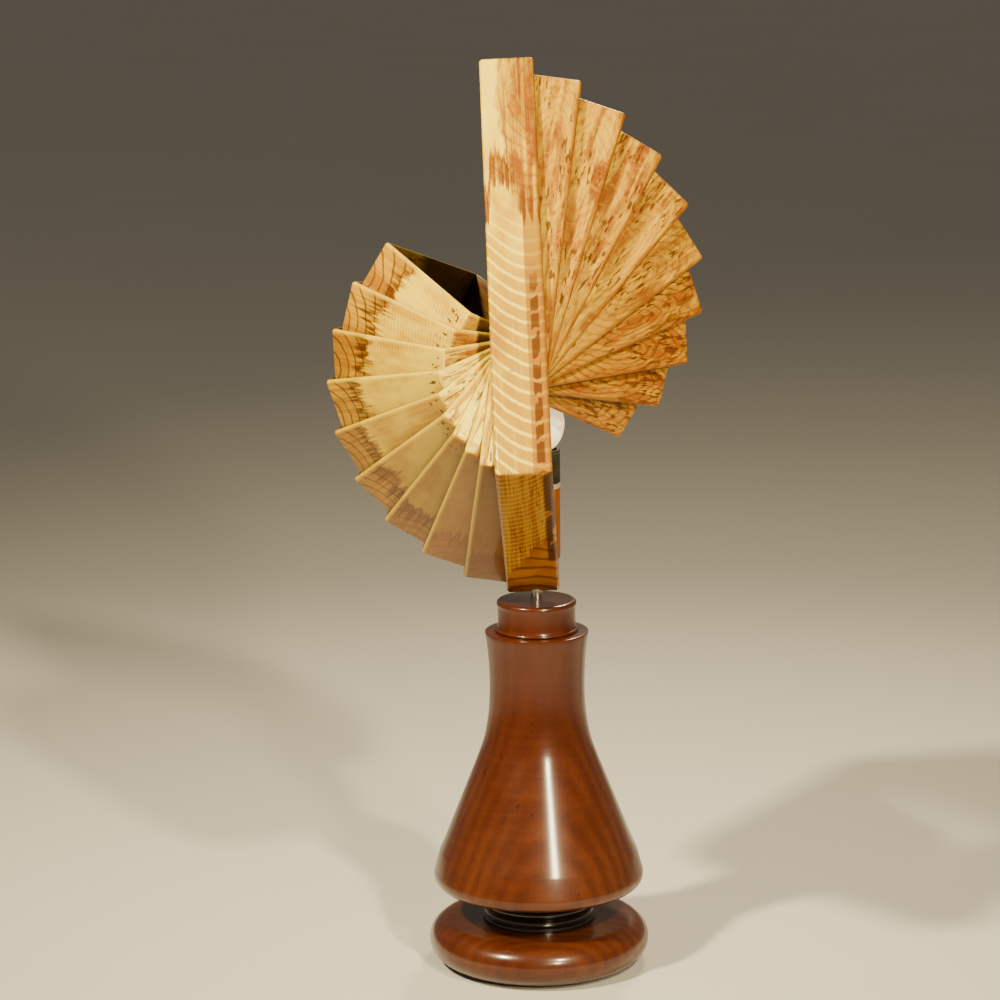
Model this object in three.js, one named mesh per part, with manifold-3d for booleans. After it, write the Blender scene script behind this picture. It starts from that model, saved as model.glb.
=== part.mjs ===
// A wooden table lamp: a turned foot, neck, cone and collar carry a pipe with a lampholder and a
// bulb, inside a shade of ten nested kite-shaped frames that open like a fan about one cross pivot.
// Millimetres, +Z up, the lamp's front towards -Y, origin at the centre of the base's underside.
import * as THREE from "three";
import { mergeVertices } from "three/addons/utils/BufferGeometryUtils.js";
import Module from "manifold-3d";

// ---- driving dimensions ----
const GAP = 0.1; // between pieces stacked on each other
const RUN = 0.09; // radial clearance of a turning fit
const FIT = 0.4; // radial clearance of a wooden part round the pipe

const PIPE_R = 5; // M10 lamp pipe
const PIPE_BORE_R = 4;
const PIPE_Z0 = 14;
const PIPE_Z1 = 429;
const BORE_R = PIPE_R + FIT;

const FELT_R = 78;
const FELT_T = 2;
const FOOT_R = 96.5;
const FOOT_Z0 = FELT_T + GAP;
const FOOT_Z1 = 38.3;
const FOOT_EDGE_R = 19;
const RECESS_R = 17; // the counterbore under the foot, for the pipe's lower nut
const RECESS_TOP = 26;
const CORD_Z = 11.5; // the cord's way out through the back of the foot
const CORD_BORE_R = 3.2;
const BUSH_R = 5.6;
const BUSH_FLANGE_R = 7.6;
const BUSH_FLANGE_Y = 92.2;

const NECK_Z1 = 69.3;
const NECK_END_R = 49.5; // the neck spool's two ends
const NECK_GROOVE_R = 51; // the centre line of its two round grooves
const NECK_BEAD_R = 47.2; // the bead between them
const RIM_R = 82.8; // centre of the cone's rounded rim
const RIM_Z = 79;
const RIM_ROUND = [9.2, 9.7]; // the rim's rounding, outwards and in height
const CONE_SIDE = [
  [87, 98.5],
  [79.3, 117],
  [68.2, 145],
  [57.8, 171],
  [51.2, 188],
  [47.4, 199],
  [44.6, 211],
  [42.4, 226],
  [41.4, 243],
  [41.5, 260],
  [42.6, 279],
  [44.4, 293],
]; // radius and height up the cone's hollow side
const CONE_TOP_R = 45;
const CONE_Z1 = 297.3;
const COLLAR_LIP_R = 34.6; // the collar's beads, at its foot and its top
const COLLAR_WALL_R = 33.6;
const COLLAR_TOP_R = 31.7;
const COLLAR_Z1 = 325;
const COLLAR_DISH = 1.3; // how far the collar's top sinks towards the pipe

const PIVOT_X = -16.6; // every frame turns about a line along Y through this point
const PIVOT_Z = 550.8;
const FRAMES = 10;
const FIRST_ANGLE = -2.4; // degrees, clockwise from upright, seen from the front
const FIRST_STEP = 10.3;
const STEP_GROWTH = 0.85;
const TIP_UP = 241.3; // the outermost frame's long tip, measured from the pivot
const TIP_DOWN = 220.4; // its short tip
const HALF_UP = 35; // degrees, half the kite's angle at the long tip
const HALF_DOWN = 55; // and at the short tip
const NEST_PITCH = 7.6; // from one frame's outside to the next one's, square to the board
const WALL = [4, 4, 4, 4, 3.9, 3.8, 3.6, 3.5, 3.4, 3.3]; // board thickness of each frame
const BOARD_W = 45.5; // board width, along the frame's own axis
const BOARD_SHIFT = 4.9; // the board's middle is this far to the right of the pivot
const SIDE_DROP = 5.1; // the outermost frame's side corners hang this much below its square kite
const DROP_FRAMES = 6; // and the drop fades out over this many frames
const EDGE_FLAT = 0.5; // what the rounding of the outer edges leaves flat on a board's edge
const CORNER_MORE = 0.4; // the outer corners are rounded this much more than the edges
const DOWEL_R = 3;
const DOWEL_Y0 = 78;
const DOWEL_Y1 = 166;

const SEAT_N0 = -2; // the seat block's extent across the frame
const SEAT_N1 = 18;
const SEAT_Z1 = 343;
const NUT_AF = 14;
const NUT_H = 5;
const WASHER_T = 1.6;
const TUBE_R = 21;
const TUBE_Z0 = 362;
const TUBE_Z1 = 423.5;

const RING_R = 21.5;
const RING_Z1 = 428.2;
const CAP_R = 18.3;
const CAP_Z1 = 437;
const SKIRT_R = 21.4;
const SKIRT_IN_R = 18.6;
const SKIRT_Z1 = 457;
const RIB_PITCH = 1.6;
const RIB_DEPTH = 0.7;
const RIBS = 16;
const INSERT_R = 16.1;
const INSERT_Z0 = 430.6;
const INSERT_Z1 = 453;
const SHELL_Z0 = 438; // the floor of the insert's socket, where the shell stands
const SHELL_Z1 = 455.4;
const SHELL_R = 14.6;
const SHELL_IN_R = 13.9;

const BULB_CAP_R = 13;
const BULB_CAP_Z0 = 443.2;
const BULB_NECK_R = 15.4;
const BULB_NECK_Z = 457.4;
const BULB_R = 25.2;
const BULB_WIDEST_Z = 479.6;
const BULB_TOP_Z = 504.5;

const wasm = await Module();
wasm.setup();

const DEG = Math.PI / 180;
const lamp = new THREE.Group();
lamp.name = "fan_shade_lamp";

// ---- helpers ----
function toSolid(geometry) {
  const bare = geometry.clone();
  bare.deleteAttribute("normal");
  bare.deleteAttribute("uv");
  const merged = mergeVertices(bare, 1e-4);
  return new wasm.Manifold(
    new wasm.Mesh({
      numProp: 3,
      vertProperties: merged.attributes.position.array,
      triVerts: new Uint32Array(merged.index.array),
    }),
  );
}

function toGeometry(solid) {
  const mesh = solid.getMesh();
  const geometry = new THREE.BufferGeometry();
  geometry.setAttribute("position", new THREE.BufferAttribute(mesh.vertProperties, 3));
  geometry.setIndex(new THREE.BufferAttribute(mesh.triVerts, 1));
  geometry.computeVertexNormals();
  return geometry;
}

function addPart(name, shape, color, roughness, metalness = 0) {
  const geometry = shape.isBufferGeometry ? shape : toGeometry(shape);
  const material = new THREE.MeshStandardMaterial({ color, roughness, metalness });
  material.name = name;
  const mesh = new THREE.Mesh(geometry, material);
  mesh.name = name;
  lamp.add(mesh);
}

// Turns a profile of [radius, height] pairs about Z. The profile runs counter-clockwise, seen with
// the radius to the right, and is closed here when it doesn't start and end on the axis.
function turned(profile, segments) {
  const onAxis = profile[0][0] === 0 && profile[profile.length - 1][0] === 0;
  const closed = onAxis ? profile : [...profile, profile[0]];
  const points = closed.map(([r, z]) => new THREE.Vector2(r, z));
  return new THREE.LatheGeometry(points, segments).rotateX(Math.PI / 2);
}

// Points of an elliptical arc in a profile, from one angle to another in degrees.
function arc(r, z, sizeR, sizeZ, from, to, steps) {
  const points = [];
  for (let i = 0; i <= steps; i++) {
    const a = (from + ((to - from) * i) / steps) * DEG;
    points.push([r + sizeR * Math.cos(a), z + sizeZ * Math.sin(a)]);
  }
  return points;
}

function upright(radius, z0, z1, segments, x = 0, y = 0) {
  return new THREE.CylinderGeometry(radius, radius, z1 - z0, segments)
    .rotateX(Math.PI / 2)
    .translate(x, y, (z0 + z1) / 2);
}

function alongY(radius, y0, y1, segments, x, z) {
  return new THREE.CylinderGeometry(radius, radius, y1 - y0, segments).translate(
    x,
    (y0 + y1) / 2,
    z,
  );
}

function washer(outer, z0, z1) {
  const profile = [
    [PIPE_R + 0.3, z0],
    [outer, z0],
    [outer, z1],
    [PIPE_R + 0.3, z1],
  ];
  return turned(profile, 20);
}

// A hexagon nut with its corners turned down at both ends.
function nut(z0, z1) {
  const hexR = NUT_AF / Math.sqrt(3);
  const shape = new THREE.Shape();
  for (let i = 0; i < 6; i++) {
    const a = (i + 0.5) * 60 * DEG;
    shape[i ? "lineTo" : "moveTo"](hexR * Math.cos(a), hexR * Math.sin(a));
  }
  shape.closePath();
  const bore = new THREE.Path().absarc(0, 0, PIPE_R + RUN, 0, 2 * Math.PI, true);
  shape.holes.push(bore);
  const prism = new THREE.ExtrudeGeometry(shape, {
    depth: z1 - z0,
    bevelEnabled: false,
    curveSegments: 8,
  }).translate(0, 0, z0);
  const flatR = NUT_AF / 2 - 0.2;
  const turnedDown = turned(
    [
      [0, z0],
      [flatR, z0],
      [hexR, z0 + 0.8],
      [hexR, z1 - 0.8],
      [flatR, z1],
      [0, z1],
    ],
    18,
  );
  return toSolid(prism).intersect(toSolid(turnedDown));
}

// ---- the turned base ----
function feltPad() {
  return turned(
    [
      [0, 0],
      [FELT_R - 0.5, 0],
      [FELT_R, 0.5],
      [FELT_R, FELT_T],
      [0, FELT_T],
    ],
    40,
  );
}

function footDisc() {
  const half = (FOOT_Z1 - FOOT_Z0) / 2;
  const edge = arc(FOOT_R - FOOT_EDGE_R, FOOT_Z0 + half, FOOT_EDGE_R, half, -90, 90, 8);
  const body = turned([[0, FOOT_Z0], ...edge, [0, FOOT_Z1]], 48);
  const recess = upright(RECESS_R, 0, RECESS_TOP, 32);
  const bore = upright(BORE_R, 10, 60, 24);
  const cordWay = alongY(BUSH_R + 0.15, 10, 120, 24, 0, CORD_Z);
  const bushSeat = alongY(BUSH_FLANGE_R + 0.3, BUSH_FLANGE_Y - 1.5, 120, 24, 0, CORD_Z);
  return toSolid(body)
    .subtract(toSolid(recess))
    .subtract(toSolid(bore))
    .subtract(toSolid(cordWay))
    .subtract(toSolid(bushSeat));
}

// The bush where the cord leaves the foot: a sleeve with a rounded flange, along +Y.
function cordInletBush() {
  const length = 16;
  const flange = 1.4;
  const profile = [
    [CORD_BORE_R, -length],
    [BUSH_R, -length],
    [BUSH_R, 0],
    [BUSH_FLANGE_R, 0],
    [BUSH_FLANGE_R, flange * 0.6],
    [BUSH_FLANGE_R - 0.7, flange],
    [CORD_BORE_R + 0.9, flange],
    [CORD_BORE_R, flange - 0.8],
  ];
  return turned(profile, 24)
    .rotateX(-Math.PI / 2)
    .translate(0, BUSH_FLANGE_Y - 1.4, CORD_Z);
}

function neckSpool() {
  const z0 = FOOT_Z1 + GAP;
  return turned(
    [
      [BORE_R, z0],
      [NECK_END_R, z0],
      [NECK_END_R, z0 + 2.6],
      ...arc(NECK_GROOVE_R, z0 + 7.1, 5.2, 4.2, 250, 110, 3),
      ...arc(NECK_BEAD_R, 53.4, 2.6, 2.9, -70, 70, 4),
      ...arc(NECK_GROOVE_R, 61, 5.2, 4.2, 250, 110, 3),
      [NECK_END_R, NECK_Z1 - GAP - 2.8],
      [NECK_END_R, NECK_Z1 - GAP],
      [BORE_R, NECK_Z1 - GAP],
    ],
    36,
  );
}

function coneBody() {
  return turned(
    [
      [BORE_R, NECK_Z1],
      ...arc(RIM_R, RIM_Z, ...RIM_ROUND, -90, 22, 6),
      ...CONE_SIDE,
      [CONE_TOP_R, CONE_Z1 - 0.9],
      [CONE_TOP_R - 0.8, CONE_Z1],
      [BORE_R, CONE_Z1],
    ],
    40,
  );
}

function collar() {
  const z0 = CONE_Z1 + GAP;
  return turned(
    [
      [BORE_R, z0],
      [COLLAR_LIP_R + 0.3, z0],
      ...arc(COLLAR_LIP_R, z0 + 1.5, 1.6, 1.5, -80, 90, 4),
      [COLLAR_WALL_R + 0.5, z0 + 4.4],
      [COLLAR_WALL_R, z0 + 9],
      [COLLAR_WALL_R, COLLAR_Z1 - 12],
      [COLLAR_WALL_R + 0.3, COLLAR_Z1 - 6.6],
      ...arc(COLLAR_TOP_R, COLLAR_Z1 - 3.3, 2.9, 3.1, -30, 90, 5),
      [COLLAR_TOP_R - 2, COLLAR_Z1 - 0.3],
      [COLLAR_TOP_R - 6, COLLAR_Z1 - 1],
      [BORE_R, COLLAR_Z1 - COLLAR_DISH],
    ],
    32,
  );
}

function lampPipe() {
  return turned(
    [
      [PIPE_BORE_R, PIPE_Z0],
      [PIPE_R - 0.4, PIPE_Z0],
      [PIPE_R, PIPE_Z0 + 0.4],
      [PIPE_R, PIPE_Z1 - 0.4],
      [PIPE_R - 0.4, PIPE_Z1],
      [PIPE_BORE_R, PIPE_Z1],
    ],
    24,
  );
}

// ---- the fan's frames ----
function frameAngle(k) {
  const steps = k - 1;
  return FIRST_ANGLE + FIRST_STEP * steps + (STEP_GROWTH * steps * (steps - 1)) / 2;
}

// Frame k's outer kite about the pivot: half-angles HALF_UP and HALF_DOWN, side corners dropped.
function kite(k) {
  const nested = NEST_PITCH * (k - 1);
  const up = TIP_UP - nested / Math.sin(HALF_UP * DEG);
  const down = TIP_DOWN - nested / Math.sin(HALF_DOWN * DEG);
  const a = Math.tan(HALF_UP * DEG);
  const b = Math.tan(HALF_DOWN * DEG);
  const squareU = (up * a - down * b) / (a + b);
  const cornerY = (up - squareU) * a;
  const cornerU = squareU - SIDE_DROP * Math.max(0, 1 - (k - 1) / DROP_FRAMES);
  return [
    [up, 0],
    [cornerU, cornerY],
    [-down, 0],
    [cornerU, -cornerY],
  ].map(([u, y]) => new THREE.Vector2(u, y));
}

// The corners of a convex outline moved in by a distance square to its sides.
function inset(corners, distance) {
  return corners.map((corner, i) => {
    const before = corners[(i + corners.length - 1) % corners.length].clone().sub(corner);
    const after = corners[(i + 1) % corners.length].clone().sub(corner);
    before.normalize();
    after.normalize();
    const half = Math.acos(before.dot(after)) / 2;
    const middle = before.add(after).normalize();
    return corner.clone().addScaledVector(middle, distance / Math.sin(half));
  });
}

function roundedShape(corners, radius, steps) {
  const points = [];
  corners.forEach((corner, i) => {
    const before = corners[(i + corners.length - 1) % corners.length].clone().sub(corner);
    const after = corners[(i + 1) % corners.length].clone().sub(corner);
    before.normalize();
    after.normalize();
    const half = Math.acos(before.dot(after)) / 2;
    const middle = before.clone().add(after).normalize();
    const centre = corner.clone().addScaledVector(middle, radius / Math.sin(half));
    const start = corner.clone().addScaledVector(before, radius / Math.tan(half)).sub(centre);
    const turn = Math.PI - 2 * half;
    for (let s = 0; s <= steps; s++) {
      points.push(
        start
          .clone()
          .rotateAround(new THREE.Vector2(), (turn * s) / steps)
          .add(centre),
      );
    }
  });
  return new THREE.Shape(points);
}

// Stands a shape's (along, across, thickness) axes up as frame k's own: its long axis, -Y and the
// direction the frame faces.
function standFrame(geometry, k) {
  const basis = new THREE.Matrix4().makeBasis(
    new THREE.Vector3(0, 0, 1),
    new THREE.Vector3(0, -1, 0),
    new THREE.Vector3(1, 0, 0),
  );
  return geometry
    .applyMatrix4(basis)
    .rotateY(frameAngle(k) * DEG)
    .translate(PIVOT_X, 0, PIVOT_Z);
}

function frame(k) {
  const low = BOARD_SHIFT - BOARD_W / 2;
  const wall = WALL[k - 1];
  const edgeR = wall - EDGE_FLAT;
  const outline = roundedShape(kite(k), edgeR + CORNER_MORE, 2);
  const outside = new THREE.ExtrudeGeometry(outline, {
    depth: BOARD_W - 2 * edgeR,
    bevelEnabled: true,
    bevelThickness: edgeR,
    bevelSize: edgeR,
    bevelOffset: -edgeR,
    bevelSegments: 2,
    steps: 1,
  }).translate(0, 0, low + edgeR);
  const inside = new THREE.ExtrudeGeometry(new THREE.Shape(inset(kite(k), wall)), {
    depth: BOARD_W + 20,
    bevelEnabled: false,
  }).translate(0, 0, low - 10);
  const dowelReach = DOWEL_Y1 + 0.3;
  const dowelHole = alongY(DOWEL_R + RUN, -dowelReach, dowelReach, 16, PIVOT_X, PIVOT_Z);
  let solid = toSolid(standFrame(outside, k))
    .subtract(toSolid(standFrame(inside, k)))
    .subtract(toSolid(dowelHole));
  if (k === 1) {
    solid = solid.subtract(toSolid(upright(BORE_R, 300, 400, 24)));
  }
  return solid;
}

function dowel(y0, y1) {
  return alongY(DOWEL_R, y0, y1, 16, PIVOT_X, PIVOT_Z);
}

// ---- between the first frame and the lampholder ----
function seatBlock() {
  const wedge = new THREE.ExtrudeGeometry(new THREE.Shape(inset(kite(1), WALL[0] + 0.3)), {
    depth: SEAT_N1 - SEAT_N0,
    bevelEnabled: false,
  }).translate(0, 0, SEAT_N0);
  const below = new THREE.BoxGeometry(100, 100, 100).translate(0, 0, SEAT_Z1 - 50);
  return toSolid(standFrame(wedge, 1))
    .intersect(toSolid(below))
    .subtract(toSolid(upright(BORE_R, 300, 400, 24)));
}

function riserTube() {
  return turned(
    [
      [BORE_R, TUBE_Z0],
      [TUBE_R - 1, TUBE_Z0],
      [TUBE_R, TUBE_Z0 + 1],
      [TUBE_R, TUBE_Z1 - 1],
      [TUBE_R - 1, TUBE_Z1],
      [BORE_R, TUBE_Z1],
    ],
    32,
  );
}

// ---- the lampholder ----
function holderRing() {
  const z0 = TUBE_Z1 + GAP;
  return turned(
    [
      [15.3, z0],
      [RING_R - 0.8, z0],
      [RING_R, z0 + 0.8],
      [RING_R, RING_Z1 - 1],
      [RING_R - 1, RING_Z1],
      [15.3, RING_Z1],
    ],
    32,
  );
}

function holderCap() {
  const z0 = TUBE_Z1 + GAP;
  const step = RING_Z1 + GAP;
  return turned(
    [
      [PIPE_R + RUN, z0],
      [15, z0],
      [15, step],
      [CAP_R, step],
      [CAP_R, CAP_Z1],
      [INSERT_R + 0.2, CAP_Z1],
      [INSERT_R + 0.2, INSERT_Z0 - 0.2],
      [PIPE_R + RUN, INSERT_Z0 - 0.2],
    ],
    32,
  );
}

function holderSkirt() {
  const z0 = RING_Z1 + GAP;
  const ribs = [];
  for (let i = 0; i < RIBS; i++) {
    const z = z0 + 1.2 + i * RIB_PITCH;
    ribs.push([SKIRT_R, z], [SKIRT_R - RIB_DEPTH, z + RIB_PITCH / 2]);
  }
  return turned(
    [
      [SKIRT_IN_R, z0],
      [SKIRT_R, z0],
      ...ribs,
      [SKIRT_R - 0.4, SKIRT_Z1 - 1.6],
      [SKIRT_R - 0.8, SKIRT_Z1],
      [SKIRT_IN_R, SKIRT_Z1],
    ],
    20,
  );
}

function holderInsert() {
  return turned(
    [
      [0, INSERT_Z0],
      [INSERT_R, INSERT_Z0],
      [INSERT_R, INSERT_Z1],
      [SHELL_R + 0.2, INSERT_Z1],
      [SHELL_R + 0.2, SHELL_Z0],
      [0, SHELL_Z0],
    ],
    24,
  );
}

function screwShell() {
  return turned(
    [
      [SHELL_IN_R, SHELL_Z0 + GAP],
      [SHELL_R, SHELL_Z0 + GAP],
      [SHELL_R, SHELL_Z1],
      [SHELL_IN_R, SHELL_Z1],
    ],
    24,
  );
}

function centreContact() {
  const thickness = 1.2;
  const middle = SHELL_Z0 + GAP + thickness / 2;
  return new THREE.BoxGeometry(12, 6, thickness).translate(2, 0, middle);
}

// ---- the bulb ----
function bulbContact() {
  return turned([[0, 439.5], [2.6, 439.7], [4.4, 440.8], [4.8, 442], [0, 442]], 16);
}

function bulbCap() {
  const pitch = 3.63;
  const ribs = [];
  for (let i = 0; i < 3; i++) {
    const z = BULB_CAP_Z0 + 2 + i * pitch;
    ribs.push([BULB_CAP_R - 1, z], [BULB_CAP_R, z + 0.3 * pitch], [BULB_CAP_R, z + 0.6 * pitch]);
  }
  return turned(
    [
      [0, 442.1],
      [8, 442.1],
      [BULB_CAP_R - 1.6, BULB_CAP_Z0 + 1],
      ...ribs,
      [BULB_CAP_R - 1, BULB_NECK_Z - 0.3],
      [0, BULB_NECK_Z - 0.3],
    ],
    24,
  );
}

function bulbHousing() {
  const edge = arc(0, BULB_WIDEST_Z, BULB_R, 28.1, -52.4, 0, 6);
  return turned(
    [
      [0, BULB_NECK_Z],
      [BULB_NECK_R - 0.8, BULB_NECK_Z - 0.1],
      ...edge.slice(1),
      [0, BULB_WIDEST_Z],
    ],
    28,
  );
}

function bulbGlobe() {
  const z0 = BULB_WIDEST_Z + GAP;
  const dome = arc(0, z0, BULB_R, BULB_TOP_Z - z0, 0, 90, 7);
  return turned([[0, z0], ...dome.slice(0, -1), [0, BULB_TOP_Z]], 28);
}

// ---- the assembly ----
const MAHOGANY = 0x6b3018;
const DARK_WOOD = 0x1c100a;
const HONEY = 0xd9a558;
const STEEL = 0xb9b9b5;
const BRASS = 0xc9a55c;

addPart("felt_pad", feltPad(), 0x1d2a20, 0.95);
addPart("foot_disc", footDisc(), MAHOGANY, 0.3);
addPart("foot_washer", washer(12, RECESS_TOP - 0.1 - WASHER_T, RECESS_TOP - 0.1), STEEL, 0.4, 1);
addPart("foot_nut", nut(18.2, 24.1), STEEL, 0.4, 1);
addPart("cord_inlet_bush", cordInletBush(), 0x151515, 0.5);
addPart("neck_spool", neckSpool(), DARK_WOOD, 0.25);
addPart("cone_body", coneBody(), MAHOGANY, 0.3);
addPart("collar", collar(), MAHOGANY, 0.3);
addPart("lamp_pipe", lampPipe(), STEEL, 0.3, 1);
addPart("seat_block", seatBlock(), HONEY, 0.5);
addPart("fan_washer", washer(9, SEAT_Z1 + 0.1, SEAT_Z1 + 0.1 + WASHER_T), STEEL, 0.4, 1);
addPart("fan_nut", nut(SEAT_Z1 + 1.8, SEAT_Z1 + 1.8 + NUT_H), STEEL, 0.4, 1);
addPart("riser_nut", nut(TUBE_Z0 - 6.9, TUBE_Z0 - 1.9), STEEL, 0.4, 1);
addPart("riser_washer", washer(13, TUBE_Z0 - 1.8, TUBE_Z0 - 0.1), STEEL, 0.4, 1);
addPart("riser_tube", riserTube(), 0x8a4a2a, 0.4);
addPart("holder_ring", holderRing(), 0xa89890, 0.5);
addPart("holder_cap", holderCap(), 0x2a2a2a, 0.5);
addPart("holder_skirt", holderSkirt(), 0x3a3a38, 0.5);
addPart("holder_insert", holderInsert(), 0xe8e4da, 0.4);
addPart("screw_shell", screwShell(), BRASS, 0.35, 1);
addPart("centre_contact", centreContact(), BRASS, 0.35, 1);
addPart("bulb_contact", bulbContact(), STEEL, 0.4, 1);
addPart("bulb_cap", bulbCap(), STEEL, 0.35, 1);
addPart("bulb_housing", bulbHousing(), 0xf2ede4, 0.4);
addPart("bulb_globe", bulbGlobe(), 0xfbf7ee, 0.35);
for (let k = 1; k <= FRAMES; k++) {
  addPart("frame_" + String(k).padStart(2, "0"), frame(k), HONEY, 0.35);
}
addPart("pivot_dowel_front", dowel(-DOWEL_Y1, -DOWEL_Y0), 0xb98a4a, 0.5);
addPart("pivot_dowel_back", dowel(DOWEL_Y0, DOWEL_Y1), 0xb98a4a, 0.5);

export default lamp;
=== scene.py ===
import math
import random

import bpy
from mathutils import Matrix, Vector


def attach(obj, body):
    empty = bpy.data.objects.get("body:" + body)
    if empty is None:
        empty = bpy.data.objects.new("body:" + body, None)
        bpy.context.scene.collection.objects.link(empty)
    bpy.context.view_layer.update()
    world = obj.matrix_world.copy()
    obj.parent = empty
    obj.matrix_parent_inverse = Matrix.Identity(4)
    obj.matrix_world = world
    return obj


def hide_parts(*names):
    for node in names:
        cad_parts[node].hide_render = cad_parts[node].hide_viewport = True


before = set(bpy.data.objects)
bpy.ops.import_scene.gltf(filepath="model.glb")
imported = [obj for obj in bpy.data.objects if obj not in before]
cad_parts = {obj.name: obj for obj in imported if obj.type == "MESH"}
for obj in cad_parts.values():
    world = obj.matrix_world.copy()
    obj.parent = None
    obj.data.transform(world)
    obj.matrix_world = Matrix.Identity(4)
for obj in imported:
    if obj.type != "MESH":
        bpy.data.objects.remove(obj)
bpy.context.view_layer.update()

MM = 0.001
TAU = 2 * math.pi

# ---------------------------------------------------------------- the shade, mm and degrees
PIVOT = (-16.6, 0.0, 550.8)
FRAME_COUNT = 10
TIP_UP, TIP_DOWN = 241.2, 220.2  # the outermost kite's tips, from the pivot
HALF_UP, HALF_DOWN = math.radians(35), math.radians(55)  # half the angle at each tip
NEST_PITCH = 7.6  # each frame's sides lie this far inside the ones of the frame round it
WALL = [4, 4, 4, 4, 3.9, 3.8, 3.6, 3.5, 3.4, 3.3]  # board thickness, from the outside in
BOARD_W = 45.5
BOARD_SHIFT = 4.9  # from the pivot to the middle of a board's width
SIDE_DROP, DROP_FRAMES = 5.1, 6  # side corners hang lower, fading out over this many frames
FIRST_ANGLE, ANGLE_STEP, ANGLE_GROWTH = -2.4, 10.3, 0.425
EDGE_FLAT = 0.5  # what the outer edges' rounding leaves of the thickness
INNER_EASE = 0.3  # rounding of the inner edges
CORNER_MORE = 0.7  # a kite corner is this much rounder than the edges
CORNER_LEAST = 0.12  # smallest radius inside a kite corner
CORNER_STEPS, BOARD_SPANS = 6, 14
SWAY, SWAY_WAVES, SWAY_SEED = 0.01, 6, 40  # faint unevenness of the boards' faces

# ---------------------------------------------------------------- the base, mm
FELT_R, FELT_Z1 = 78, 2.0
FOOT_Z0, FOOT_Z1 = 2.1, 38.3
FOOT_FLAT_R = 70  # the flat underside
FOOT_ROUND_R, FOOT_ROUND_Z, FOOT_ROUND = 77.5, 20.2, (19, 18.1)
NECK_Z0, NECK_Z1 = 38.4, 69.1
NECK_END_R = 49.5
NECK_GROOVE_R, NECK_GROOVES_Z, NECK_GROOVE = 51, (45.5, 61), (5.2, 4.2)
NECK_BEAD_R, NECK_BEAD_Z, NECK_BEAD = 47.2, 53.4, (2.6, 2.9)
CONE_Z0, CONE_Z1 = 69.3, 297.3
RIM_R, RIM_Z, RIM_ROUND = 82.8, 79, (9.2, 9.7)
CONE_SIDE = [(87, 98.5), (79.3, 117), (68.2, 145), (57.8, 171), (51.2, 188), (47.4, 199),
             (44.6, 211), (42.4, 226), (41.4, 243), (41.5, 260), (42.6, 279), (44.4, 293)]
CONE_SHOULDER = [(44.9, 296.2), (44.8, 296.8), (44.3, 297.2), (43.6, CONE_Z1)]
COLLAR_Z0 = 297.4
COLLAR_BEAD_R, COLLAR_BEAD = 34.6, (1.6, 1.5)
COLLAR_WALL = [(34.1, 301.8), (33.6, 306.4), (33.6, 313), (33.9, 318.4)]
COLLAR_LIP_R, COLLAR_LIP_Z, COLLAR_LIP = 31.7, 321.7, (2.9, 3.1)
COLLAR_DISH = [(29.7, 324.6), (25.7, 324.0), (12, 323.75), (0, 323.7)]
BUSH_PROFILE = [(3.2, -16), (5.6, -16), (5.6, 0), (7.6, 0), (7.6, 0.7), (7.3, 1.2), (6.8, 1.4),
                (4.2, 1.4), (3.5, 1.2), (3.2, 0.7)]
BUSH_PLACE = (0, 90.8, 11.5)

# ---------------------------------------------------------------- column and bulb, mm
PIPE_R, PIPE_BORE_R, PIPE_EASE = 5, 4, 0.4
PIPE_Z0, PIPE_Z1 = 14, 429
PIPE_THREAD_Z, PIPE_THREAD_PITCH, PIPE_THREAD_DEPTH = (335, 361), 1.0, 0.35
TUBE_R, TUBE_BORE_R, TUBE_EASE = 21, 5.4, 0.8
TUBE_Z0, TUBE_Z1 = 362, 423.5
RING_BORE_R, RING_Z0, RING_Z1 = 15.3, 423.6, 428.2
SKIRT_R, SKIRT_BORE_R = 21.4, 18.6
SKIRT_Z0, SKIRT_Z1 = 428.3, 457
RIB_COUNT, RIB_PITCH, RIB_Z0 = 16, 1.6, 429.5
RIB_PROFILE = [(0, -0.25), (0, 0.25), (-0.55, 0.6), (-0.7, 0.8), (-0.55, 1.0)]
CAP_Z0, CAP_Z1, CAP_ROOT_R = 442.1, 457.1, 12
CAP_TURNS, CAP_PITCH, CAP_THREAD_Z0 = 3, 3.63, 445.2
CAP_THREAD = [(0, 0), (0.5, 0.5), (0.9, 1.1), (1, 1.6), (0.9, 2.1), (0.5, 2.7), (0.05, 3.2)]
BODY_Z0, BODY_Z1, BODY_ROUND = 457.3, 479.6, (25.2, 28.1)
DOME_Z0, DOME_Z1, DOME_ROUND = 479.7, 504.5, (25.1, 24.6)

# ---------------------------------------------------------------- camera and lamps
CAMERA_YAW, CAMERA_PITCH, CAMERA_ROLL = (math.radians(a) for a in (0.79, 11.65, 0.6))
CAMERA_PLACE = (-14.0, -2639.6, 405.9)  # mm from the pivot, before the yaw
SENSOR = 36
FOCAL_TO_SENSOR = 3.138
LAMP_TARGET, LAMP_DISTANCE = (0, 0, 0.42), 2.6
LAMP_COLOR, LAMP_SPREAD = (1.0, 0.84, 0.50), math.radians(70)
LAMPS = [("key", 26, 36, 0.15, 12), ("low key", 20, 19, 0.2, 7), ("rear", 165, 38, 0.5, 8),
         ("fill", -48, 44, 0.2, 22)]  # name, azimuth from the front, elevation, size, watts
WORLD_COLOR, WORLD_STRENGTH = (1.0, 0.88, 0.70, 1), 0.16
FLOOR_HALF = 60


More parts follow.
